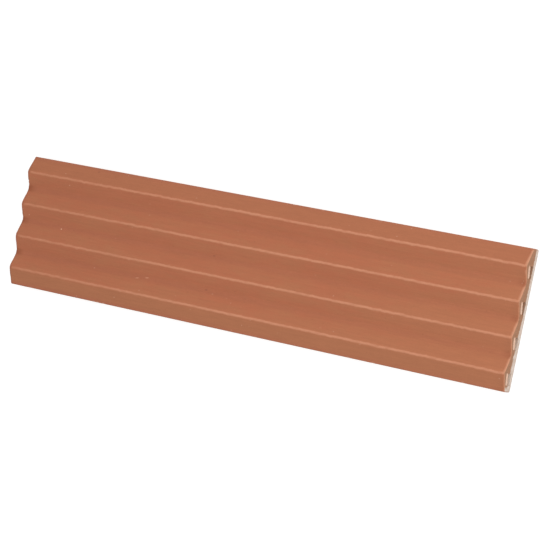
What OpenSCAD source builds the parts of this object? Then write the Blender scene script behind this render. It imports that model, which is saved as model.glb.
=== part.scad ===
// Ridged terracotta cladding tile: one extruded, fired piece of clay.
//
// The clay is pushed through a die, so one section runs the whole length:
// a flat back, a front of straight-sided ridges with tight rounded crests
// and softer rounded valleys, and one hollow core behind each ridge.
// The tile lies on its back, ridges up. X runs along the length, Y across
// the width and Z up from the back. The origin is the middle of the back.

/* [Tile] */
// Length of the extrusion between its two sawn ends
tile_length = 840; // [300:10:1500]
// Width across the ridges, with the lower margin
tile_width = 201; // [160:1:300]
// Number of ridges across the width
ridge_count = 4; // [3:1:4]
// Width that the lowest flank runs on past half a ridge
lower_margin = 1; // [0:0.5:3]

/* [Thickness] */
// Thickness from the back to the line where two flanks meet in a valley
valley_thickness = 21; // [20:0.5:30]
// Height of a sharp crest above that line
ridge_height = 13; // [8:0.5:16]
// Thickness at the upper long edge, where the first flank runs down further
upper_edge_thickness = 19; // [16:0.5:20]
// Thickness at the lower long edge, where the last flank ends
lower_edge_thickness = 20; // [17:0.5:20]

/* [Rounding] */
// Radius along each crest
crest_radius = 2.8; // [1:0.1:4]
// Radius along the bottom of each valley
valley_radius = 12; // [4:0.5:14]
// Radius along the four long edges
edge_radius = 2; // [0.5:0.1:2.5]

/* [Cores] */
// Wall between the back and a core
back_wall = 9; // [8:0.5:11]
// Depth of a core on its tall side, straight behind the crest
core_depth = 9.5; // [8:0.5:12]
// Depth of a core on its low side, towards the valley
core_low_depth = 5; // [5:0.5:8]
// Width of a core, from behind the crest towards the valley below it
core_width = 17.5; // [12:0.5:18]
// Radius in the corners of a core
core_radius = 2; // [1:0.1:2.4]

/* [Hidden] */

terracotta = [0.67, 0.42, 0.30];
arc_step = 6;        // largest angle that one chord of a round corner spans
half_width = tile_width / 2;
pitch = (tile_width - lower_margin) / ridge_count;
crest_z = valley_thickness + ridge_height;

// Middle of ridge i across the width, counted from the upper edge at +Y
function crest_y(i) = half_width - pitch * (i + 0.5);

// Unit vector from point a towards point b
function towards(a, b) = (b - a) / norm(b - a);

// Points of an arc about a centre, from start_angle through sweep degrees
function arc(centre, r, start_angle, sweep) =
    let (chords = ceil(abs(sweep) / arc_step))
    [for (k = [0 : chords])
        let (angle = start_angle + sweep * k / chords)
        centre + r * [cos(angle), sin(angle)]];

// The arc that rounds the corner at c between points a and b
function round_corner(a, c, b, r) =
    let (
        to_a = towards(c, a),
        to_b = towards(c, b),
        half = acos(to_a * to_b) / 2,
        centre = c + towards([0, 0], to_a + to_b) * r / sin(half),
        first = c + to_a * r / tan(half) - centre,
        last = c + to_b * r / tan(half) - centre,
        start_angle = atan2(first.y, first.x),
        turn = atan2(last.y, last.x) - start_angle
    )
    arc(centre, r, start_angle, turn - 360 * round(turn / 360));

// A closed outline from corners [x, y, radius], each one rounded
function rounded(corners) =
    let (n = len(corners), point = [for (c = corners) [c.x, c.y]])
    [for (i = [0 : n - 1])
        each round_corner(point[(i + n - 1) % n], point[i], point[(i + 1) % n], corners[i].z)];

// Corners of the front, from the upper edge over each crest to the lower edge
front_corners = [
    [half_width, upper_edge_thickness, edge_radius],
    for (i = [0 : ridge_count - 1]) each [
        [crest_y(i), crest_z, crest_radius],
        i < ridge_count - 1
            ? [crest_y(i) - pitch / 2, valley_thickness, valley_radius]
            : [-half_width, lower_edge_thickness, edge_radius]
    ]
];

// Corners of the flat back
back_corners = [
    [-half_width, 0, edge_radius],
    [half_width, 0, edge_radius]
];

// Corners of one core: straight behind the crest on its tall side, lower
// towards the valley, so the clay in front of it stays about even
core_corners = [
    [0, 0, core_radius],
    [0, core_depth, core_radius],
    [-core_width, core_low_depth, core_radius],
    [-core_width, 0, core_radius]
];

// The die's opening: width along X and thickness along Y of the drawing
module tile_section() {
    difference() {
        polygon(rounded(concat(front_corners, back_corners)));
        for (i = [0 : ridge_count - 1])
            translate([crest_y(i), back_wall]) polygon(rounded(core_corners));
    }
}

// The fired tile: its section stood up in the Y-Z plane and pushed along X
module terracotta_tile() {
    color(terracotta)
    translate([-tile_length / 2, 0, 0])
    rotate([90, 0, 90])
    linear_extrude(tile_length) tile_section();
}

terracotta_tile();
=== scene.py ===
# %% [markdown]
# # A ridged terracotta cladding tile
# The real tile is one length of clay. A press pushes it through a die, so the
# same wavy section runs from end to end, and wire or a saw cuts it to length
# before or after it is fired. Four straight-sided ridges run along its front,
# its back is flat, and a hollow core runs behind each ridge.
#
# The tile lies on its back, ridges up: X runs along it, Y across it, Z up.

import math
import random

import bmesh
import bpy
import numpy as np
from mathutils import Matrix, Vector, kdtree, noise


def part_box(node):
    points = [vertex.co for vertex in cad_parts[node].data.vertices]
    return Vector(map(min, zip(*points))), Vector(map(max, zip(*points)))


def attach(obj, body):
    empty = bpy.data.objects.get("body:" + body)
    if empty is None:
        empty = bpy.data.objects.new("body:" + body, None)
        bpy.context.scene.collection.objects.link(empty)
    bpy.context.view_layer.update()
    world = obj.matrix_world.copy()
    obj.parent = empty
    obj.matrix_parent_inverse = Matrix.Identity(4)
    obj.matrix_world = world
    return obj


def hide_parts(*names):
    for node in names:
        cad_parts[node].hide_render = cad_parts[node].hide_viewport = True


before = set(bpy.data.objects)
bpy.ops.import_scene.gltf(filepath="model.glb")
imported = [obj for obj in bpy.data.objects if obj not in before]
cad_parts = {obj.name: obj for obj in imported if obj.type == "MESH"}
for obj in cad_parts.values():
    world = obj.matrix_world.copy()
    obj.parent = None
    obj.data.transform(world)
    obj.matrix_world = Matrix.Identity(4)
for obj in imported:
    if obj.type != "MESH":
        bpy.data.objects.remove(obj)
bpy.context.view_layer.update()

# %% [markdown]
# ## The section's sizes
# The length, width and thickness come from the frame. The shape of the waves
# and cores is a handful of die sizes, the same as those of the CAD section.
# A rounded crest is a little lower than the sharp line where its two flanks
# would meet, so the die's sharp lines are worked out from the finished height.

# %% Die sizes, in metres
NODE = "terracotta_tile"
MM = 0.001
low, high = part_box(NODE)
LENGTH = high.x - low.x
WIDTH = high.y - low.y
RIDGES = 4
LOWER_MARGIN = 1 * MM
RIDGE_HEIGHT = 13 * MM
UPPER_EDGE_DROP = 2 * MM
LOWER_EDGE_DROP = 1 * MM
CREST_RADIUS = 2.8 * MM
VALLEY_RADIUS = 12 * MM
EDGE_RADIUS = 2 * MM
BACK_WALL = 9 * MM
CORE_DEPTH = 9.5 * MM
CORE_LOW_DEPTH = 5 * MM
CORE_WIDTH = 17.5 * MM
CORE_RADIUS = 2 * MM

pitch = (WIDTH - LOWER_MARGIN) / RIDGES
flank = math.atan2(RIDGE_HEIGHT, pitch / 2)
crest_z = high.z + CREST_RADIUS * (1 / math.cos(flank) - 1)
valley_z = crest_z - RIDGE_HEIGHT
crests = [WIDTH / 2 - pitch * (i + 0.5) for i in range(RIDGES)]
valleys = [WIDTH / 2 - pitch * (i + 1) for i in range(RIDGES - 1)]
print("pitch", round(pitch, 4), "flank angle", round(math.degrees(flank), 2))
print("valley line at", round(valley_z, 4), "crest line at", round(crest_z, 4))

# %% [markdown]
# ## Helpers for modelling by hand
# In edit mode an operator acts on whatever is selected. Each step below
# therefore picks its edges or faces by where they lie, then calls one operator.

# %% Picking parts of a mesh
TOUCH = 0.02 * MM


def select(piece, kind, test):
    """Selects the piece's VERT, EDGE or FACE parts that pass the test."""
    bpy.ops.mesh.select_mode(type=kind)
    bpy.ops.mesh.select_all(action="DESELECT")
    mesh = bmesh.from_edit_mesh(piece.data)
    parts = {"VERT": mesh.verts, "EDGE": mesh.edges, "FACE": mesh.faces}[kind]
    chosen = [part for part in parts if test(part)]
    for part in chosen:
        part.select_set(True)
    mesh.select_flush_mode()
    bmesh.update_edit_mesh(piece.data)
    return len(chosen)


def near(a, b):
    """Whether two lengths are the same."""
    return abs(a - b) < TOUCH


def runs_along(edge):
    """Whether an edge runs along the tile's length."""
    a, b = (v.co for v in edge.verts)
    return near(a.y, b.y) and near(a.z, b.z)


def on_line(y):
    """A test for lengthwise edges at one place across the width."""
    return lambda edge: runs_along(edge) and near(edge.verts[0].co.y, y)


def at_end(part, end=None):
    """Whether an edge or face lies in the plane of a sawn end: -1, 1 or either."""
    ends = (end,) if end else (-1, 1)
    return any(all(near(v.co.x, side * LENGTH / 2) for v in part.verts) for side in ends)


def round_off(radius, turn, segments):
    """Bevels the selected edges to an arc between faces that turn by an angle."""
    bpy.ops.mesh.bevel(
        offset_type="OFFSET", offset=radius * math.tan(turn / 2), segments=segments,
        profile=0.5, affect="EDGES", clamp_overlap=False,
    )


def start(add, size, place, **settings):
    """Deselects all, adds a primitive of that size at that place, and returns it."""
    bpy.ops.object.select_all(action="DESELECT")
    add(size=1, **settings)
    piece = bpy.context.object
    piece.scale = size
    piece.location = place
    bpy.ops.object.transform_apply(location=True, rotation=True, scale=True)
    return piece


# %% [markdown]
# ## The ridged front
# The front starts as a flat grid with one row of faces for each flank. Every
# second line is lifted to make a zigzag, and the lines are then rounded:
# tightly on the crests, where the die is sharp, and widely in the valleys.
# Doing this while the faces still run the full length keeps each line straight.

# %% Fold a grid into ridges
CREST_STEPS = 6
VALLEY_STEPS = 6
FLANK_CUTS = 5

tile = start(
    bpy.ops.mesh.primitive_grid_add, size=(LENGTH, RIDGES * pitch, 1),
    place=(0, LOWER_MARGIN / 2, valley_z), x_subdivisions=1, y_subdivisions=2 * RIDGES,
)
tile.name = "cladding_tile"
tile.data.name = "cladding_tile"
bpy.ops.object.mode_set(mode="EDIT")
for y in crests:
    select(tile, "EDGE", on_line(y))
    bpy.ops.transform.translate(value=(0, 0, RIDGE_HEIGHT))
select(tile, "EDGE", on_line(WIDTH / 2))
bpy.ops.transform.translate(value=(0, 0, -UPPER_EDGE_DROP))
select(tile, "EDGE", on_line(-WIDTH / 2 + LOWER_MARGIN))
bpy.ops.transform.translate(value=(0, -LOWER_MARGIN, -LOWER_EDGE_DROP))
print("front sheet:", len(bmesh.from_edit_mesh(tile.data).faces), "flanks")

# %% Round the crests and valleys
for y in crests:
    select(tile, "EDGE", on_line(y))
    round_off(CREST_RADIUS, 2 * flank, CREST_STEPS)
for y in valleys:
    select(tile, "EDGE", on_line(y))
    round_off(VALLEY_RADIUS, 2 * flank, VALLEY_STEPS)


def crosses_flank(edge):
    """Whether an edge spans a flank from crest to valley."""
    return at_end(edge) and not runs_along(edge) and edge.calc_length() > pitch / 5


cut = select(tile, "EDGE", crosses_flank)
bpy.ops.mesh.subdivide(number_cuts=FLANK_CUTS)
print("cross edges cut:", cut)

# %% [markdown]
# ## Sides, back and sawn ends
# The two long borders of the front are pulled down to the floor for the sides,
# and bridged for the back. What is left open is the section itself at each
# end, and one many-sided face closes it.

# %% Close the sheet into a bar
SIDE_CUTS = 2
BACK_CUTS = 11
EDGE_STEPS = 4
END_ARRIS = 1.4 * MM
ARRIS_STEPS = 3

select(tile, "EDGE", lambda e: runs_along(e) and near(abs(e.verts[0].co.y), WIDTH / 2))
bpy.ops.mesh.extrude_region_move(TRANSFORM_OT_translate={"value": (0, 0, -valley_z / 2)})
bpy.ops.transform.resize(value=(1, 1, 0), center_override=(0, 0, 0))
bpy.ops.mesh.bridge_edge_loops()
for end in (-1, 1):
    select(tile, "EDGE", lambda e: at_end(e, end))
    bpy.ops.mesh.edge_face_add()
bpy.ops.mesh.select_all(action="SELECT")
bpy.ops.mesh.normals_make_consistent(inside=False)


def long_edge(lowest, highest):
    """A test for the bar's long edges between two heights."""
    return lambda e: (runs_along(e) and near(abs(e.verts[0].co.y), WIDTH / 2)
                      and lowest <= e.verts[0].co.z <= highest)


select(tile, "EDGE", long_edge(-TOUCH, TOUCH))
round_off(EDGE_RADIUS, math.pi / 2, EDGE_STEPS)
select(tile, "EDGE", long_edge(valley_z / 2, high.z))
round_off(EDGE_RADIUS, math.pi / 2 - flank, EDGE_STEPS)
select(tile, "EDGE", lambda e: at_end(e) and e.calc_length() > 0.9 * WIDTH)
bpy.ops.mesh.subdivide(number_cuts=BACK_CUTS)
select(tile, "EDGE", lambda e: at_end(e) and near(e.verts[0].co.y, e.verts[1].co.y)
       and e.calc_length() > valley_z / 2)
bpy.ops.mesh.subdivide(number_cuts=SIDE_CUTS)
print("closed bar:", len(bmesh.from_edit_mesh(tile.data).faces), "faces")

# %% Draw finer lines where the clay will be worn, then round the sawn arris
BESIDE_CREST = 2.7 * MM
BESIDE_EDGE = (2.3 * MM, 3.6 * MM)


def draw_line(place, normal):
    """Cuts the long faces along one plane, and leaves the sawn ends whole."""
    select(tile, "FACE", lambda face: abs(face.normal.x) < 0.5)
    bpy.ops.mesh.bisect(plane_co=place, plane_no=normal, threshold=TOUCH)


for y in crests:
    for side in (-1, 1):
        draw_line((0, y + side * BESIDE_CREST, 0), (0, 1, 0))
for gap in BESIDE_EDGE:
    for side in (-1, 1):
        draw_line((0, side * (WIDTH / 2 - gap), 0), (0, 1, 0))
    draw_line((0, 0, gap), (0, 0, 1))
    draw_line((0, 0, valley_z - UPPER_EDGE_DROP - gap), (0, 0, 1))
select(tile, "EDGE", at_end)
round_off(END_ARRIS, math.pi / 2, ARRIS_STEPS)
print("lined bar:", len(bmesh.from_edit_mesh(tile.data).faces), "faces")
bpy.ops.object.mode_set(mode="OBJECT")

# %% [markdown]
# ## Hollow cores
# Four fingers in the die leave a hollow behind each ridge. One finger is
# modelled as a cube of the core's size, with the wall towards the valley made
# lower and its long edges rounded. Copies of it are then subtracted, as the
# real fingers keep the clay out. The fingers are longer than the tile, so
# both mouths are cut cleanly.

# %% Shape one core finger
CORE_STEPS = 4
FINGER_OVERHANG = 10 * MM

finger = start(
    bpy.ops.mesh.primitive_cube_add,
    size=(LENGTH + 2 * FINGER_OVERHANG, CORE_WIDTH, CORE_DEPTH),
    place=(0, crests[0] - CORE_WIDTH / 2, BACK_WALL + CORE_DEPTH / 2),
)
finger.name = "core_finger"
bpy.ops.object.mode_set(mode="EDIT")


def long_corner(y, height):
    """A test for one long edge of the finger: at that Y and height above the back wall."""
    return lambda e: on_line(y)(e) and near(e.verts[0].co.z, BACK_WALL + height)


tall_side, low_side = crests[0], crests[0] - CORE_WIDTH
select(finger, "EDGE", long_corner(low_side, CORE_DEPTH))
bpy.ops.transform.translate(value=(0, 0, CORE_LOW_DEPTH - CORE_DEPTH))
slope = math.atan2(CORE_DEPTH - CORE_LOW_DEPTH, CORE_WIDTH)
for y, height, turn in (
    (tall_side, CORE_DEPTH, math.pi / 2 + slope),
    (low_side, CORE_LOW_DEPTH, math.pi / 2 - slope),
    (tall_side, 0, math.pi / 2),
    (low_side, 0, math.pi / 2),
):
    select(finger, "EDGE", long_corner(y, height))
    round_off(CORE_RADIUS, turn, CORE_STEPS)
bpy.ops.object.mode_set(mode="OBJECT")
print("core finger:", len(finger.data.polygons), "faces")

# %% Keep the clay out of the cores
for y in crests:
    core = finger.copy()
    core.data = finger.data.copy()
    bpy.context.collection.objects.link(core)
    core.data.transform(Matrix.Translation((0, y - crests[0], 0)))
    bpy.ops.object.select_all(action="DESELECT")
    tile.select_set(True)
    bpy.context.view_layer.objects.active = tile
    hollow = tile.modifiers.new("core", "BOOLEAN")
    hollow.operation = "DIFFERENCE"
    hollow.solver = "EXACT"
    hollow.object = core
    bpy.ops.object.modifier_apply(modifier=hollow.name)
    bpy.data.objects.remove(core)
bpy.data.objects.remove(finger)
print("tile with cores:", len(tile.data.polygons), "faces")

# %% [markdown]
# ## Mouths of the cores, and a grid to work on
# The saw leaves a small worn rim round each mouth. Then the sawn faces are
# cut into a fine grid and the long strips into short stations, because the
# chips and the slight waviness of the clay need vertices to move.

# %% Wear the rim of each mouth
MOUTH_RIM = 0.7 * MM
MOUTH_STEPS = 2


def in_core(point, grow=0.0):
    """Whether a point lies in or on one of the cores' bounding boxes."""
    if not BACK_WALL - grow - TOUCH < point.z < BACK_WALL + CORE_DEPTH + grow + TOUCH:
        return False
    return any(y - CORE_WIDTH - grow - TOUCH < point.y < y + grow + TOUCH for y in crests)


def on_mouth(edge):
    """Whether an edge lies between a sawn face and the wall of a core."""
    walls = [abs(face.normal.x) < 0.1 for face in edge.link_faces]
    return at_end(edge) and any(walls) and not all(walls)


bpy.ops.object.mode_set(mode="EDIT")
rims = select(tile, "EDGE", on_mouth)
bpy.ops.mesh.bevel(
    offset_type="OFFSET", offset=MOUTH_RIM, segments=MOUTH_STEPS, affect="EDGES",
    clamp_overlap=False,
)
print("rim edges worn:", rims)

# %% Cut the sawn faces into a grid
GRID_Y = 1.5 * MM
GRID_Z = 0.95 * MM
GRID_SHIFT = 0.37


def sawn_face(face):
    """Whether a face lies flat in one of the two sawn ends."""
    return abs(face.normal.x) > 0.99 and at_end(face)


def cut_across(place, normal):
    """Cuts the sawn faces along one plane."""
    select(tile, "FACE", sawn_face)
    bpy.ops.mesh.bisect(plane_co=place, plane_no=normal, threshold=TOUCH)


for i in range(1, round(WIDTH / GRID_Y)):
    cut_across((0, -WIDTH / 2 + (i + GRID_SHIFT) * GRID_Y, 0), (0, 1, 0))
for i in range(1, round(high.z / GRID_Z)):
    cut_across((0, 0, (i + GRID_SHIFT) * GRID_Z), (0, 0, 1))
print("sawn faces:", select(tile, "FACE", sawn_face))

# %% Cut the strips into stations
STATION_CUTS = (23, 18)


def skin_line(edge):
    """Whether an edge runs along the skin of the tile, and is not a core's."""
    return (runs_along(edge) and edge.calc_length() > 5 * MM
            and not in_core(edge.verts[0].co))


for cuts in STATION_CUTS:
    lines = select(tile, "EDGE", skin_line)
    bpy.ops.mesh.subdivide(number_cuts=cuts)
    print("skin lines cut:", lines)

# %% [markdown]
# ## Where the chips will be
# Small flakes leave the crests and the long edges of fired clay. A flake off a
# long edge takes a smaller one with it, which keeps its outline from being an
# oval. Flakes are smaller than the cells of the mesh, so they are planned before
# the mesh is sculpted, and only the cells round each of them are cut finer.

# %% Plan the chips
CREST_CHIPS = 9
EDGE_CHIPS = 9
CHIPPED_SPAN = 0.48
CREST_CHIP_WIDTHS = (2.0, 4.5)
CREST_CHIP_DEPTH = 0.07
CREST_CHIP_LEAN = 0.3
EDGE_CHIP_WIDTHS = (2.5, 6.5)
EDGE_CHIP_DEPTHS = (0.09, 0.18)
EDGE_CHIP_RISE = 0.9
SIDE_INSET, TOP_INSET = 0.5 * MM, 0.7 * MM
SECOND_WIDTH, SECOND_DEPTH = 0.6, 0.7

chance = random.Random(41)
strikes = []


def facing_of(y, z):
    """A unit vector across the tile, without any part along it."""
    return np.array((0, y, z)) / math.hypot(y, z)


for y in crests:
    for _ in range(CREST_CHIPS):
        place = np.array((chance.uniform(-CHIPPED_SPAN, CHIPPED_SPAN) * LENGTH, y, high.z))
        width = chance.uniform(*CREST_CHIP_WIDTHS) * MM
        facing = facing_of(chance.uniform(-CREST_CHIP_LEAN, CREST_CHIP_LEAN), 1)
        strikes.append((place, facing, width, width * CREST_CHIP_DEPTH))
upper_z, lower_z = valley_z - UPPER_EDGE_DROP, valley_z - LOWER_EDGE_DROP
for side, top in ((1, upper_z), (-1, lower_z), (1, 0), (-1, 0)):
    up = 1 if top else -1
    facing = facing_of(side, up * EDGE_CHIP_RISE)
    for _ in range(EDGE_CHIPS):
        x = chance.uniform(-CHIPPED_SPAN, CHIPPED_SPAN) * LENGTH
        place = np.array((x, side * (WIDTH / 2 - SIDE_INSET), top - up * TOP_INSET))
        width = chance.uniform(*EDGE_CHIP_WIDTHS) * MM
        depth = width * chance.uniform(*EDGE_CHIP_DEPTHS)
        strikes.append((place, facing, width, depth))
        beside = place + (chance.uniform(-SECOND_WIDTH, SECOND_WIDTH) * width, 0, 0)
        strikes.append((beside, facing, SECOND_WIDTH * width, SECOND_DEPTH * depth))
print("chips planned:", len(strikes))

# %% Cut the cells under the chips finer
CHIP_CUTS = 2
CHIP_REACH = 0.6
CHIP_MARGIN = 1 * MM

struck = kdtree.KDTree(len(strikes))
for i, strike in enumerate(strikes):
    struck.insert(strike[0], i)
struck.balance()


def under_a_chip(face):
    """Whether a face lies where a chip will come off."""
    _, i, distance = struck.find(face.calc_center_median())
    return distance < CHIP_REACH * strikes[i][2] + CHIP_MARGIN


print("cells under chips:", select(tile, "FACE", under_a_chip))
bpy.ops.mesh.subdivide(number_cuts=CHIP_CUTS)
bpy.ops.object.mode_set(mode="OBJECT")
print("tile to sculpt:", len(tile.data.vertices), "vertices,", len(tile.data.polygons), "faces")

# %% [markdown]
# ## Slight unevenness of fired clay
# Clay leaves the die straight and shrinks unevenly as it dries and fires. The
# flanks undulate by a tenth of a millimetre, and each crest wanders a little,
# because the die drags most on its sharpest line. All the moves go into the
# clay, so the tile stays inside its CAD box. They are smooth noise at a few
# sizes, read at every vertex, which is quicker and steadier than sculpting.

# %% Read the mesh, and make smooth noise on it
WALL_MARGIN = 0.1 * MM

count = len(tile.data.vertices)
points = np.empty(count * 3)
tile.data.vertices.foreach_get("co", points)
points = points.reshape(-1, 3)
outward = np.empty(count * 3)
tile.data.vertex_normals.foreach_get("vector", outward)
outward = outward.reshape(-1, 3)


def lumps(long, wide, deep, seed):
    """Smooth noise from -1 to 1 at every vertex, with lumps of those sizes in metres."""
    places = points / (long, wide, deep) + (seed * 17.3, seed * 5.1, seed * 9.7)
    return np.array([noise.noise(place) for place in places])


def nearness(distance, reach):
    """1 at no distance, falling smoothly to about nothing at three times the reach."""
    return np.exp(-(distance / reach) ** 2)


from_end = LENGTH / 2 - np.abs(points[:, 0])
across = WIDTH / 2 - points[:, 1]
past_crest = across % pitch - pitch / 2
in_a_core = np.array([in_core(Vector(p), WALL_MARGIN) for p in points])
on_skin = (from_end > END_ARRIS / 2) & ~in_a_core
on_front = on_skin & (points[:, 2] > high.z / 2) & (np.abs(points[:, 1]) < WIDTH / 2 - TOUCH)
print(count, "vertices,", on_front.sum(), "on the front,", in_a_core.sum(), "in the cores")

# %% Let the flanks undulate and the crests wander
FLANK_WAVE = 0.10 * MM
SKIN_PEEL = 0.035 * MM
CREST_WANDER = 0.15 * MM
CREST_SINK = 0.16 * MM
CREST_REACH = 2.6 * MM

dip = FLANK_WAVE * (0.5 + 0.5 * lumps(0.070, 0.020, 0.020, 1))
dip += SKIN_PEEL * (0.5 + 0.5 * lumps(0.006, 0.006, 0.006, 2))
moved = -outward * dip[:, None]
crest_pull = nearness(past_crest, CREST_REACH) * on_front
moved[:, 1] += CREST_WANDER * crest_pull * lumps(0.018, 0.050, 1, 3)
moved[:, 2] -= CREST_SINK * crest_pull * (0.5 + 0.5 * lumps(0.011, 0.050, 1, 4))
print("deepest dip in mm:", round(float(dip.max()) / MM, 3))

# %% [markdown]
# ## Worn arrises and chips
# Fired clay is brittle. The sawn ends crumble along their whole outline, flakes
# leave the crests and the long edges, and the rims of the cores break out a
# little. A chip is a shallow scoop: every vertex inside a ball that dips
# into the surface is pushed back to the ball. Uneven balls give a broken look.
# The depth of each scoop is kept as an attribute, for the finish to colour.

# %% Crumble the sawn arrises
CRUMBLE = 0.45 * MM
CRUMBLE_REACH = 1.5 * MM
CORNER_WEAR = 1.5 * MM
CORNER_REACH = 3.5 * MM
LEAST_TURN, MOST_TURN = 0.2, 0.98
MOST_CRUMBLE = 1.3
TIP_WEAR_LEFT, TIP_WEAR_RIGHT = 1.0 * MM, 0.3 * MM

rough = 0.5 + 0.5 * lumps(0.0032, 0.0032, 0.0032, 5) * (1 + lumps(0.012, 0.012, 0.012, 6))
tilt = np.abs(outward[:, 0])
on_arris = (tilt > LEAST_TURN) & (tilt < MOST_TURN)
crumbled = nearness(from_end - END_ARRIS / 2, CRUMBLE_REACH) * on_arris
moved -= outward * (CRUMBLE * crumbled * np.clip(rough, 0, MOST_CRUMBLE))[:, None]
corner = nearness(from_end, CORNER_REACH) * nearness(past_crest, CORNER_REACH) * on_front
moved[:, 2] -= CORNER_WEAR * corner
tip = nearness(from_end, 2 * CORNER_REACH) * nearness(past_crest, CORNER_REACH)
tip *= np.clip((points[:, 2] - valley_z) / RIDGE_HEIGHT, 0, 1) ** 3
moved[:, 0] += np.where(points[:, 0] < 0, TIP_WEAR_LEFT, -TIP_WEAR_RIGHT) * tip
points += moved

# %% Strike the chips
GRIT_SIZE = 1.4 * MM
GRIT_SHARE = 1.1
PALEST_SHARE = 0.5
BALL_MARGIN = 1.02

chip = np.zeros(count)


def scoop(place, facing, width, depth, least=-0.1):
    """Pushes the vertices near a place, and facing at least so far its way, to a rough ball."""
    ball = (width ** 2 / 4 + depth ** 2) / (2 * depth)
    centre = place + facing * (ball - depth)
    offset = points - centre
    distance = np.linalg.norm(offset, axis=1)
    for i in np.nonzero(distance < ball * BALL_MARGIN)[0]:
        grit = noise.noise(Vector(points[i]) / GRIT_SIZE) * GRIT_SHARE * depth
        push = ball - distance[i] + grit
        if push > 0 and facing @ outward[i] > least:
            points[i] += offset[i] / distance[i] * push
            chip[i] = max(chip[i], min(1.0, push / (PALEST_SHARE * depth)))


for strike in strikes:
    scoop(*strike)
print("vertices chipped on crests and long edges:", int((chip > 0).sum()))

# %% Break out the sawn ends and the mouths
END_CHIPS = 26
END_CHIP_WIDTHS = (2.0, 5.5)
END_CHIP_DEPTHS = (0.10, 0.20)
BACK_CHIP_SHARE = 0.4
BACK_CHIP_HEIGHT, FRONT_CHIP_DROP = 0.2 * MM, 0.6 * MM
MOUTH_CHIPS = 5
MOUTH_CHIP_WIDTHS = (2.0, 4.0)
MOUTH_CHIP_DEPTH = 0.08
MOUTH_CHIP_HEIGHTS = (0, 0.85)


def front_height(y):
    """Height of the unrounded front at one place across the width."""
    climb = RIDGE_HEIGHT * (1 - abs((WIDTH / 2 - y) % pitch - pitch / 2) / (pitch / 2))
    return valley_z + climb


for end in (-1, 1):
    for _ in range(END_CHIPS):
        y = chance.uniform(-CHIPPED_SPAN, CHIPPED_SPAN) * WIDTH
        on_back = chance.random() < BACK_CHIP_SHARE
        z = BACK_CHIP_HEIGHT if on_back else front_height(y) - FRONT_CHIP_DROP
        place = np.array((end * (LENGTH / 2 - SIDE_INSET), y, z))
        facing = np.array((end, 0, -1 if on_back else 1)) / math.sqrt(2)
        width = chance.uniform(*END_CHIP_WIDTHS) * MM
        scoop(place, facing, width, width * chance.uniform(*END_CHIP_DEPTHS))
    for y in crests:
        for _ in range(MOUTH_CHIPS):
            place = np.array((
                end * LENGTH / 2, y - chance.uniform(0, 1) * CORE_WIDTH,
                BACK_WALL + chance.choice(MOUTH_CHIP_HEIGHTS) * CORE_DEPTH,
            ))
            width = chance.uniform(*MOUTH_CHIP_WIDTHS) * MM
            scoop(place, np.array((end, 0, 0)), width, width * MOUTH_CHIP_DEPTH, least=0.5)
print("vertices chipped in all:", int((chip > 0).sum()))

# %% [markdown]
# ## The lips in front of the cores
# The clay between a crest and its core is thin, and the wire tears it as it
# cuts through. A flake comes off there, along the core from behind the crest
# towards the valley, and it leaves a shallow pale dish in the sawn face. Its
# outline is a rounded box, where a cube and a cube add up to one. The dish is
# pressed in here, and the finish gives it its colour later.

# %% Press in the torn lips
LIP_DEPTH = 7.4 * MM
LIP_RUN = 19 * MM
LIP_START = 1.3 * MM
LIP_DISH = 0.8 * MM

core_front = BACK_WALL + CORE_DEPTH - past_crest * math.tan(slope)
along_lip = (past_crest + LIP_START) / (LIP_RUN / 2) - 1
above_core = (points[:, 2] - core_front) / (LIP_DEPTH / 2) - 1
inside_lip = 1 - np.abs(along_lip) ** 3 - np.abs(above_core) ** 3
flat_end = from_end < TOUCH
torn = 0.6 + 0.4 * lumps(0.003, 0.003, 0.003, 7)
lip = LIP_DISH * torn * np.clip(2 * inside_lip, 0, 1) * flat_end
points[:, 0] -= np.sign(points[:, 0]) * lip
print("vertices in the lips:", int((lip > 0).sum()))

# %% Roughen the sawn faces
SAW_DRAG = 0.10 * MM
SAW_TEAR = 0.12 * MM

drag = SAW_DRAG * (0.5 + 0.5 * lumps(1, 0.0030, 0.030, 8))
drag += SAW_TEAR * np.clip(lumps(0.004, 0.004, 0.004, 9), 0, 1)
points[:, 0] -= np.sign(points[:, 0]) * drag * flat_end
print("deepest wire mark in mm:", round(float((drag * flat_end).max()) / MM, 3))

# %% [markdown]
# ## Cuts that are not quite square
# The cutter does not meet the clay at a perfect right angle, so the tile is two
# millimetres shorter along its lower edge than along its upper edge at one end,
# and half a millimetre at the other. The last few centimetres take up the lean.

# %% Lean the cuts, and write the sculpted mesh back
LEAN_RIGHT = 2.0 * MM
LEAN_LEFT = 0.5 * MM
LEAN_REACH = 60 * MM
SHARPEST_SMOOTH = 38

lean = np.where(points[:, 0] > 0, LEAN_RIGHT, -LEAN_LEFT) * (0.5 - points[:, 1] / WIDTH)
points[:, 0] -= lean * np.clip(1 - from_end / LEAN_REACH, 0, 1)
points[:, 2] = np.maximum(points[:, 2], 0)
tile.data.vertices.foreach_set("co", points.ravel())


def remember(name, values):
    """Keeps one number for each vertex of the tile, under a name the finish can read."""
    kept = tile.data.attributes.new(name, "FLOAT", "POINT")
    kept.data.foreach_set("value", np.ascontiguousarray(values, dtype=np.float32))


in_a_mouth = np.array([in_core(Vector(p), MOUTH_RIM + WALL_MARGIN) for p in points])
in_a_mouth &= from_end < MOUTH_RIM - TOUCH
remember("chip", chip)
remember("sawn", (flat_end | in_a_mouth).astype(float))
remember("from_end", from_end)
remember("core", (in_a_core & ~in_a_mouth).astype(float))
tile.data.update()
bpy.ops.object.select_all(action="DESELECT")
tile.select_set(True)
bpy.context.view_layer.objects.active = tile
bpy.ops.object.shade_smooth_by_angle(angle=math.radians(SHARPEST_SMOOTH))
print("finished tile:", [round(v, 5) for v in (*points.min(0), *points.max(0))])

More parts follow.
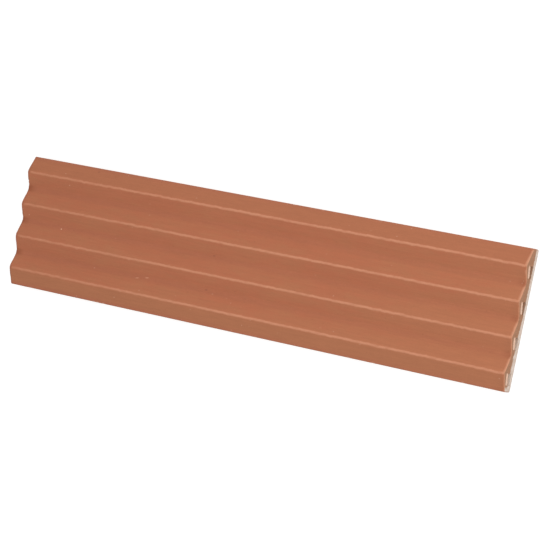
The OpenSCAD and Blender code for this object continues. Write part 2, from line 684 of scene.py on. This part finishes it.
# %% [markdown]
# ## Sums in a shader
# A finish is a graph of nodes, and its sums are easier to read as sums. A Wire
# stands for one output socket. Adding or multiplying wires adds Math nodes, and
# every other node comes from one method that takes its type and its sockets.

# %% A wire


class Wire:
    """An output socket. Sums of wires and numbers become Math nodes."""

    def __init__(self, finish, socket):
        self.finish, self.socket = finish, socket

    def sum(self, operation, *terms):
        """One Math node, fed with wires and numbers."""
        return self.finish.node("Math", {"operation": operation}, dict(enumerate(terms)))

    def __add__(self, other):
        return self.sum("ADD", self, other)

    def __sub__(self, other):
        return self.sum("SUBTRACT", self, other)

    def __rsub__(self, other):
        return self.sum("SUBTRACT", other, self)

    def __mul__(self, other):
        return self.sum("MULTIPLY", self, other)

    def __mod__(self, other):
        return self.sum("FLOORED_MODULO", self, other)

    def __abs__(self):
        return self.sum("ABSOLUTE", self)

    def __lt__(self, other):
        return self.sum("LESS_THAN", self, other)

    def __or__(self, other):
        return self.sum("MAXIMUM", self, other)

    __radd__ = __add__
    __rmul__ = __mul__
    __ror__ = __or__


# %% The finish it belongs to


class Finish:
    """The nodes of a material or world, added one call at a time."""

    def __init__(self, owner):
        owner.use_nodes = True
        self.owner = owner
        self.tree = owner.node_tree
        self.tree.nodes.clear()

    def node(self, kind, settings=None, sockets=None, output=0):
        """Adds a node, sets it up, feeds its sockets and returns one output as a Wire."""
        added = self.tree.nodes.new("ShaderNode" + kind)
        for name, value in (settings or {}).items():
            setattr(added, name, value)
        for name, value in (sockets or {}).items():
            socket = added.inputs[name]
            if isinstance(value, Wire):
                self.tree.links.new(value.socket, socket)
            elif isinstance(value, tuple):
                socket.default_value = value[:len(socket.default_value)]
            else:
                socket.default_value = value
        return Wire(self, added.outputs[output]) if added.outputs else None

    def fade(self, value, start, end, low=0.0, high=1.0):
        """Goes smoothly from low to high as the value goes from start to end."""
        return self.node("MapRange", {"interpolation_type": "SMOOTHSTEP"}, {
            "Value": value, "From Min": start, "From Max": end, "To Min": low, "To Max": high,
        })

    def noise(self, place, lumps, detail, seed, drawn=(1, 1, 1)):
        """Noise around 0.5, with that many lumps to the metre. An axis under 1 draws them out."""
        place = self.node("VectorMath", {"operation": "MULTIPLY"}, {0: place, 1: drawn})
        return self.node("TexNoise", {"noise_dimensions": "4D"}, {
            "Vector": place, "W": seed, "Scale": lumps, "Detail": detail,
        })

    def blend(self, share, first, second):
        """A colour between two, at the share of the second. Sockets 6 and 7 are a Mix's colours."""
        return self.node("Mix", {"data_type": "RGBA"}, {0: share, 6: first, 7: second}, output=2)

    def shade(self, colour, amount):
        """A colour made lighter or darker by a factor."""
        return self.node("VectorMath", {"operation": "SCALE"}, {0: colour, "Scale": amount})

    def attribute(self, name):
        """A number kept on the vertices of the piece."""
        return self.node("Attribute", {"attribute_name": name}, output="Fac")

    def show(self, shader, kind="Material"):
        """Makes a shader the one that is seen."""
        self.node("Output" + kind, None, {"Surface": shader})

    def tell(self, step):
        """Prints how many nodes there are once a step is done."""
        print(step, "brings", self.owner.name, "to", len(self.tree.nodes), "nodes")


# %% Colours as they are written


def paint(red, green, blue):
    """A colour given as 0 to 255 screen values, as the linear colour a shader wants."""
    linear = [
        v / 12.92 if v <= 0.04045 else ((v + 0.055) / 1.055) ** 2.4
        for v in (red / 255, green / 255, blue / 255)
    ]
    return (*linear, 1.0)


print("mid grey as linear light:", round(paint(128, 128, 128)[0], 3))

# %% [markdown]
# ## Fired clay
# Unglazed terracotta is dull and very even. What little it shows comes from how
# it was made: broad drifts between a redder and a browner tone from the kiln,
# streaks and fine lines along the length that the die has dragged, a mealy
# grain, small pits and a few grits. All of it is noise on Object coordinates,
# drawn out along X for what the die drags, so it stays fixed to the clay. The skin
# is also painted with shade: a little darker towards the left end, along the
# valleys and long edges, and in the pits.

# %% Where a point lies on the tile
clay = Finish(bpy.data.materials.new("terracotta"))
place = clay.node("TexCoord", output="Object")
x, y, z = (clay.node("SeparateXYZ", None, {"Vector": place}, output=axis) for axis in "XYZ")
beyond_crest = (WIDTH / 2 - y) % pitch - pitch / 2
off_crest = abs(beyond_crest)
end_gap = clay.attribute("from_end")
sawn = clay.attribute("sawn")
chipped = clay.attribute("chip")
in_core_wall = clay.attribute("core")
front = clay.fade(z, valley_z - 4 * MM, valley_z - 3 * MM)
off_back = clay.fade(z, 1 * MM, 2 * MM)
rightward = clay.fade(x, -LENGTH / 2, LENGTH / 2)

# %% Noise from broad drifts to fine meal
kiln = clay.noise(place, 24, detail=2, seed=1, drawn=(0.35, 1, 1))
mottle = clay.noise(place, 130, detail=2, seed=2, drawn=(0.30, 1, 1))
patchy = clay.noise(place, 190, detail=2, seed=5, drawn=(0.5, 1, 1))
streaks = clay.noise(place, 420, detail=3, seed=3, drawn=(0.06, 1, 1))
drag_lines = clay.noise(place, 1500, detail=1, seed=8, drawn=(0.005, 1, 1))
grain = clay.noise(place, 1300, detail=2, seed=4)
meal = clay.noise(place, 3800, detail=1, seed=9)


def swing(wire, amount):
    """Noise set round nothing, with about that much between its lowest and highest."""
    return (wire - 0.5) * amount


clay.tell("noise")

# %% Tone of the skin
RED_CLAY = paint(175, 106, 76)
BROWN_CLAY = paint(175, 111, 79)
UPPER_CLAY = paint(171, 106, 75)
LOWER_CLAY = paint(171, 109, 77)
RED_SHIFT = -0.42
BROWNER_RIGHT = 0.38
REDDER_UPWARD = 0.6 / WIDTH
CREST_TURN = 4 * MM
LEFT_PAINTED_SHADE = 0.97
MOTTLE = 0.10
STREAK = 0.16
DRAG = 0.10
GRAIN = 0.30
MEAL = 0.40

hue = kiln + mottle + RED_SHIFT + REDDER_UPWARD * y * rightward
hue = hue - BROWNER_RIGHT * clay.fade(x, 0.1 * LENGTH, 0.5 * LENGTH)
skin = clay.blend(clay.fade(hue, 0.2, 0.8), BROWN_CLAY, RED_CLAY)
outer_flank = clay.fade(abs(y), crests[0], crests[0] + CREST_TURN)
outer_clay = clay.blend(clay.fade(y, -MM, MM), LOWER_CLAY, UPPER_CLAY)
skin = clay.blend(outer_flank, skin, outer_clay)
# Painted shade: the skin is a little darker towards the left end.
tone = clay.fade(x, -LENGTH / 2, 0, LEFT_PAINTED_SHADE, 1)
tone = tone + swing(mottle, MOTTLE) + swing(streaks, STREAK) + swing(drag_lines, DRAG)
tone = tone + swing(grain, GRAIN) + swing(meal, MEAL)
skin = clay.shade(skin, tone)
clay.tell("tone")

# %% Painted shade in the valleys and along the long edges
VALLEY_SHADE_CLAY = paint(170, 103, 75)
VALLEY_SHADE_STARTS, VALLEY_SHADE_FULL = 17.5 * MM, 24.5 * MM
LESS_RIGHT = 0.5

# Painted shade: darker and a little redder along each valley line and the long edges, less so
# towards the right end.
valley_shade = clay.fade(off_crest, VALLEY_SHADE_STARTS, VALLEY_SHADE_FULL) * off_back * (1 - LESS_RIGHT * rightward)
skin = clay.blend(valley_shade, skin, clay.shade(VALLEY_SHADE_CLAY, tone))
clay.tell("valley_shade")

# %% Grits and pits
DARK_GRIT = paint(128, 78, 58)
PALE_GRIT = paint(214, 172, 146)
DARK_SIZE, DARK_SHARE = 3.8 * MM, 0.025
PALE_SIZE, PALE_SHARE = 4.4 * MM, 0.015
GRIT_STRENGTH = 0.5
PIT_SIZE = 1.1 * MM
SPOT_RIM, SPOT_HEART = 0.22, 0.10
LOT_WEIGHTS = (17, 31, 47)


def cells(size, output):
    """Cells of about that size: the Distance to a cell's own point, or its random Color."""
    return clay.node("TexVoronoi", None, {"Vector": place, "Scale": 1 / size}, output)


def scattered(size, share):
    """A mask of small ragged spots, one in that share of the cells."""
    lot = clay.node("VectorMath", {"operation": "DOT_PRODUCT"},
                    {0: cells(size, "Color"), 1: LOT_WEIGHTS}, output="Value") % 1
    ragged = cells(size, "Distance") + swing(grain, 0.6) + swing(meal, 0.3)
    return clay.fade(ragged, SPOT_RIM, SPOT_HEART) * (lot < share)


large_pits = scattered(PIT_SIZE, 0.06 + 0.16 * sawn)
small_pits = scattered(PIT_SIZE / 2, 0.05 + 0.10 * sawn)
pits = large_pits | small_pits
skin = clay.blend(scattered(DARK_SIZE, DARK_SHARE) * GRIT_STRENGTH, skin, DARK_GRIT)
skin = clay.blend(scattered(PALE_SIZE, PALE_SHARE) * GRIT_STRENGTH, skin, PALE_GRIT)
clay.tell("grit")

# %% [markdown]
# ## Wear, marks and painted light
# Crests and arrises are rubbed pale first, because they touch everything, and
# the rubbing is ragged, since the grain gives way unevenly. The pale crest lines
# and the pale arris of the right end are partly a painted highlight as well,
# stronger towards the right end and, on the arris, on the upper flank of each
# ridge. The clay is darker close to the cuts, and dirt stays where the valleys
# meet them. A few small marks come from handling. Each is a mask with a colour or
# shade.

# %% Wear and painted highlight on the crests
CREST_WEAR_AND_HIGHLIGHT = paint(202, 138, 107)
WEAR_RIM, WEAR_HEART = 2.5 * MM, 0.7 * MM
WEAR_SHIFT = 0.25 * MM
WEAR_WANDER = 3.2 * MM
WEAR_RAGGED = 4 * MM
WEAR_AND_HIGHLIGHT_LEFT, WEAR_AND_HIGHLIGHT_MIDDLE = 0.50, 0.87
CREST_FOOT, CREST_TOP = valley_z + 9.5 * MM, valley_z + 11 * MM
CREST_FADE_END = 9 * MM

wander = clay.noise(place, 100, detail=3, seed=7, drawn=(1, 0.3, 0.3))
from_line = abs(beyond_crest - WEAR_SHIFT + swing(wander, WEAR_WANDER))
from_line = from_line + swing(grain, WEAR_RAGGED)
crest_wear_and_highlight = clay.fade(from_line, WEAR_RIM, WEAR_HEART) * clay.fade(z, CREST_FOOT, CREST_TOP)
crest_wear_and_highlight = crest_wear_and_highlight * clay.fade(x, -0.60 * LENGTH, 0.06 * LENGTH, WEAR_AND_HIGHLIGHT_LEFT, WEAR_AND_HIGHLIGHT_MIDDLE)
crest_wear_and_highlight = crest_wear_and_highlight * clay.fade(patchy, 0.2, 0.6, 0.6, 1.05)
crest_wear_and_highlight = crest_wear_and_highlight * (1 - clay.fade(end_gap, CREST_FADE_END, MM) * (1 - rightward))
# Painted highlight: the pale crest lines are partly worn clay and partly a painted highlight, which
# grows towards the right end.
skin = clay.blend(crest_wear_and_highlight, skin, CREST_WEAR_AND_HIGHLIGHT)
clay.tell("crest wear")

# %% Darker beside the cuts
NEAR_CUT_DARKENING = 0.11
DARK_LEFT_REACH = (6 * MM, 1 * MM)
DARK_RIGHT_REACH = (16 * MM, 4 * MM)
RIGHT_SHARE = 0.4

# The flank above each crest, towards +Y, where the right arris carries more painted highlight.
upper_flank_side = clay.fade(beyond_crest, MM, -MM)
upper_flank_side = upper_flank_side * clay.fade(beyond_crest, -24.5 * MM, -20 * MM)
near_cut = clay.fade(end_gap, *DARK_LEFT_REACH) * (1 - rightward)
near_right_cut = clay.fade(end_gap, *DARK_RIGHT_REACH) * rightward * (1 - upper_flank_side)
near_cut = near_cut + RIGHT_SHARE * near_right_cut
# The skin is painted darker within a few millimetres of each cut, most at the left end.
skin = clay.shade(skin, 1 - NEAR_CUT_DARKENING * near_cut)
clay.tell("near_cut")

# %% Wear and painted highlight on the right arris, and pale chips
ARRIS_WEAR_AND_HIGHLIGHT = paint(204, 147, 117)
ARRIS_REACH = 2 * MM
UPPER_FLANK_REACH = 2.5 * MM
ARRIS_RAGGED = 3 * MM
ARRIS_STRENGTH, UPPER_FLANK_STRENGTH = 0.6, 0.25
CHIP_STRENGTH = 0.40

from_cut = end_gap + swing(patchy, ARRIS_RAGGED) + swing(grain, ARRIS_RAGGED)
arris = clay.fade(from_cut, ARRIS_REACH + UPPER_FLANK_REACH * upper_flank_side, 0.5 * MM)
arris = arris * front * rightward * (ARRIS_STRENGTH + UPPER_FLANK_STRENGTH * upper_flank_side)
# Painted highlight: the front arris of the right end is partly worn and partly painted as a
# highlight, reaching further and stronger on the upper flank of each ridge. The chips show paler
# clay.
skin = clay.blend(arris, skin, ARRIS_WEAR_AND_HIGHLIGHT)
skin = clay.blend(chipped * CHIP_STRENGTH, skin, ARRIS_WEAR_AND_HIGHLIGHT)
clay.tell("arris wear")

# %% Marks of handling
SPECK = paint(232, 190, 160)
SPECK_PLACE = (-0.3444, -0.0021)
SCRATCH = paint(208, 150, 118)
SCRATCH_PLACES = ((-0.194, -0.0513), (-0.177, -0.0482))
POCK = paint(140, 84, 64)
POCK_PLACES = ((-0.0703, 0.0040), (-0.0728, -0.0476), (-0.297, 0.0945))


def mark(middle, long, wide, angle=0.0):
    """A mask for one small mark on the front, at an X and Y and with a length and width."""
    own = clay.node("Mapping", {"vector_type": "TEXTURE"}, {
        "Vector": place, "Location": (*middle, 0),
        "Rotation": (0, 0, math.radians(angle)), "Scale": (long / 2, wide / 2, 1),
    })
    from_middle = clay.node("VectorMath", {"operation": "LENGTH"}, {0: own}, output="Value")
    return clay.fade(from_middle, 1, 0.4) * front


skin = clay.blend(mark(SPECK_PLACE, 2.6 * MM, 2.2 * MM), skin, SPECK)
for middle in SCRATCH_PLACES:
    skin = clay.blend(mark(middle, 9 * MM, 1.6 * MM, angle=10) * 0.8, skin, SCRATCH)
for middle in POCK_PLACES:
    skin = clay.blend(mark(middle, 6 * MM, 2.5 * MM, angle=8) * 0.7, skin, POCK)

clay.tell("handling")

# %% Dirt where the valleys meet the cuts
STAIN = paint(142, 79, 50)
STAIN_STARTS, STAIN_FULL = 17.5 * MM, 23 * MM
STAIN_LENGTH = 17 * MM
STAIN_STRENGTH, STAIN_LESS_RIGHT = 0.9, 0.60

stain = clay.fade(off_crest, STAIN_STARTS, STAIN_FULL) * clay.fade(end_gap, STAIN_LENGTH, MM)
stain = stain * off_back * (1 - outer_flank) * clay.fade(patchy, 0.3, 0.6, 0.6, 1)
stain = stain * (STAIN_STRENGTH - STAIN_LESS_RIGHT * rightward)
skin = clay.blend(stain, skin, STAIN)
clay.tell("dirt")

# %% [markdown]
# ## The sawn ends
# The cut shows the clay's inside. The back third is pale, as if lime had soaked
# in from below, and at the right end it reaches higher and into the cores along
# the lower half. The rest is brown, the hollow cores lie in shade, and the torn
# lips in front of them are about as pale as the lime. The wire has left fine
# upright lines, and it opens more pits than the die does.

# %% Brown tone of a sawn end
SAWN_CLAY = paint(166, 121, 92)

blotch = clay.noise(place, 420, detail=4, seed=6, drawn=(1, 0.6, 1))
wire_lines = clay.noise(place, 900, detail=2, seed=10, drawn=(1, 1, 0.06))
cut_tone = 0.65 + 0.2 * blotch + 0.2 * wire_lines + 0.3 * grain
end_tone = clay.shade(SAWN_CLAY, cut_tone)
clay.tell("a bare cut")

# %% Lime along the back
LIMED_CLAY = paint(214, 194, 178)
CHALK = paint(226, 212, 201)
LIME_HEIGHT = BACK_WALL + 0.7 * MM
SOAKED_RISE = 3.5 * MM
SOAKED_FULL = -0.22 * WIDTH
LIME_BLUR = 1.2 * MM
LIME_STRENGTH = 0.92
CORNER_REACHES = (-WIDTH / 2 + 9 * MM, -WIDTH / 2 + 3 * MM)
BACK_SHADE = 0.88

soaked = clay.fade(y, 0, SOAKED_FULL) * rightward
lime_line = LIME_HEIGHT + SOAKED_RISE * soaked + swing(blotch, 4 * MM) + swing(mottle, 5 * MM)
lime = clay.fade(z - lime_line, LIME_BLUR, -LIME_BLUR)
lower_corner = clay.fade(y + swing(blotch, 6 * MM), *CORNER_REACHES)
lime_tone = clay.blend(clay.fade(patchy + blotch, 0.85, 1.15), LIMED_CLAY, CHALK)
lime_tone = clay.shade(lime_tone, clay.fade(z, MM, 5 * MM, BACK_SHADE, 1) + swing(grain, 0.2))
end_tone = clay.blend((lime | lower_corner) * LIME_STRENGTH, end_tone, lime_tone)
clay.tell("lime")

# %% Torn lips
TORN_CLAY = paint(226, 188, 164)
LIP_RIM = paint(166, 116, 89)
RIM_STRENGTH = 0.4


def cube_of(wire):
    """The cube of a wire's distance from nothing."""
    return abs(wire * wire * wire)


core_top = BACK_WALL + CORE_DEPTH - beyond_crest * math.tan(slope)
lip_length = (beyond_crest + LIP_START) * (2 / LIP_RUN) - 1
lip_height = (z - core_top) * (2 / LIP_DEPTH) - 1
within = 1 - cube_of(lip_length) - cube_of(lip_height) + swing(blotch, 0.9)
torn_lip = clay.fade(within + swing(grain, 0.5), 0.10, 0.35)
rim = clay.fade(within, -0.5, 0.1) * clay.fade(z, core_top, core_top + MM)
end_tone = clay.blend(rim * RIM_STRENGTH, end_tone, LIP_RIM)
end_tone = clay.blend(torn_lip, end_tone, clay.shade(TORN_CLAY, 0.8 + 0.4 * grain))
clay.tell("torn lips")

# %% Skin, ends and core walls together
CORE_CLAY = paint(162, 124, 99)
LIMED_CORE = 0.8
PIT_SHADE = 0.35

bloom = clay.fade(end_gap + swing(blotch, 8 * MM), 5 * MM, MM) * clay.fade(z, 3 * MM, 1.5 * MM)
tone = clay.blend(sawn | bloom, skin, end_tone)
core_tone = clay.blend(soaked * LIMED_CORE, CORE_CLAY, LIMED_CLAY)
tone = clay.blend(in_core_wall, tone, core_tone)
# Painted shade: the pits are darkened, besides being dented by the bump.
tone = clay.shade(tone, 1 - PIT_SHADE * pits)
clay.tell("the whole tone")

# %% Grain that can be felt, and the finished clay
RELIEF = 0.6 * MM
RELIEF_STRENGTH = 0.6
DULLNESS = 0.86
SPECULAR = 0.25

relief = 0.4 * grain + 0.4 * meal + 0.4 * streaks + 0.3 * drag_lines - 0.8 * pits
relief = relief + sawn * (blotch + 0.5 * wire_lines)
bump = clay.node("Bump", None, {
    "Strength": RELIEF_STRENGTH, "Distance": RELIEF, "Height": relief,
})
roughness = DULLNESS - 0.08 * crest_wear_and_highlight + swing(meal, 0.10)
surface = clay.node("BsdfPrincipled", None, {
    "Base Color": tone, "Roughness": roughness, "Specular IOR Level": SPECULAR, "Normal": bump,
})
clay.show(surface)
tile.data.materials.clear()
tile.data.materials.append(clay.owner)
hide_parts(NODE)
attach(tile, "root")
clay.tell("relief")

# %% [markdown]
# ## Floor, light and camera
# The tile lies on a white studio floor under a wide, soft key light that is
# almost straight in front of its ridges, so both flanks of a ridge are nearly
# alike. A weak side light grazes the ridges and reaches the right sawn end.
# Together with the world they light the clay at the level where a colour
# renders about as it is written.

# %% White floor and world
FLOOR_SIZE = 8
FLOOR_GAP = 0.3 * MM
LIT_FLOOR = (0.8, 0.8, 0.8, 1)
SEEN_FLOOR = (0.35, 0.35, 0.35, 1)
FLOOR_GLOW = 0.76
WHITE = (1, 1, 1, 1)
SKY_LIGHT = 0.70


def seen_directly(finish):
    """1 for rays that reach the eye straight, by a mirror or through glass."""
    eye = finish.node("LightPath", output="Is Camera Ray")
    mirror = finish.node("LightPath", output="Is Glossy Ray")
    glass = finish.node("LightPath", output="Is Transmission Ray")
    return eye | mirror | glass


bpy.ops.mesh.primitive_plane_add(size=FLOOR_SIZE, location=(0, 0, -FLOOR_GAP))
floor = bpy.context.object
floor.name = "floor"
white = Finish(bpy.data.materials.new("studio_floor"))
lit = white.node("BsdfDiffuse", None, {"Color": LIT_FLOOR})
soft = white.node("BsdfDiffuse", None, {"Color": SEEN_FLOOR})
glow = white.node("Emission", None, {"Color": WHITE, "Strength": FLOOR_GLOW})
backed = white.node("AddShader", None, {0: soft, 1: glow})
white.show(white.node("MixShader", None, {0: seen_directly(white), 1: lit, 2: backed}))
floor.data.materials.append(white.owner)

sky = Finish(bpy.data.worlds.new("studio"))
bpy.context.scene.world = sky.owner
level = sky.fade(seen_directly(sky), 0, 1, SKY_LIGHT, 1)
sky.show(sky.node("Background", None, {"Color": WHITE, "Strength": level}), "World")
white.tell("the floor")
sky.tell("the sky")

# %% Soft lights
LIT_POINT = Vector((0.1, 0, 0))


def softbox(name, place, size, power):
    """Adds a square area light of that size in metres, aimed at the tile."""
    bpy.ops.object.light_add(type="AREA", location=place)
    lamp = bpy.context.object
    lamp.name = name
    lamp.data.size = size
    lamp.data.energy = power
    lamp.rotation_euler = (LIT_POINT - Vector(place)).to_track_quat("-Z", "Y").to_euler()
    return lamp


side = softbox("side", place=(1.46, 1.84, 0.94), size=0.9, power=9)
key = softbox("key", place=(1.67, 0, 3.24), size=1.6, power=48)
print("lights:", side.name, key.name)

# %% Camera
LENS = 139.87 * MM
LEAN, TIP, ROLL = 27.92, -0.74, 11.12
AIM = Vector((0.0343, -0.0057, 0.021))
DISTANCE = 3.1056

bpy.ops.object.camera_add()
camera = bpy.context.object
camera.data.lens = LENS / MM
turn = (Matrix.Rotation(math.radians(LEAN), 4, "Y") @ Matrix.Rotation(math.radians(TIP), 4, "X")
        @ Matrix.Rotation(math.radians(ROLL), 4, "Z"))
camera.matrix_world = Matrix.Translation(AIM + turn @ Vector((0, 0, DISTANCE))) @ turn
camera.data.clip_end = 50
bpy.context.scene.camera = camera
bpy.context.scene.view_settings.view_transform = "Standard"
print("camera at", [round(v, 3) for v in camera.matrix_world.translation])

# %% Bring the scene up to date
bpy.context.view_layer.update()
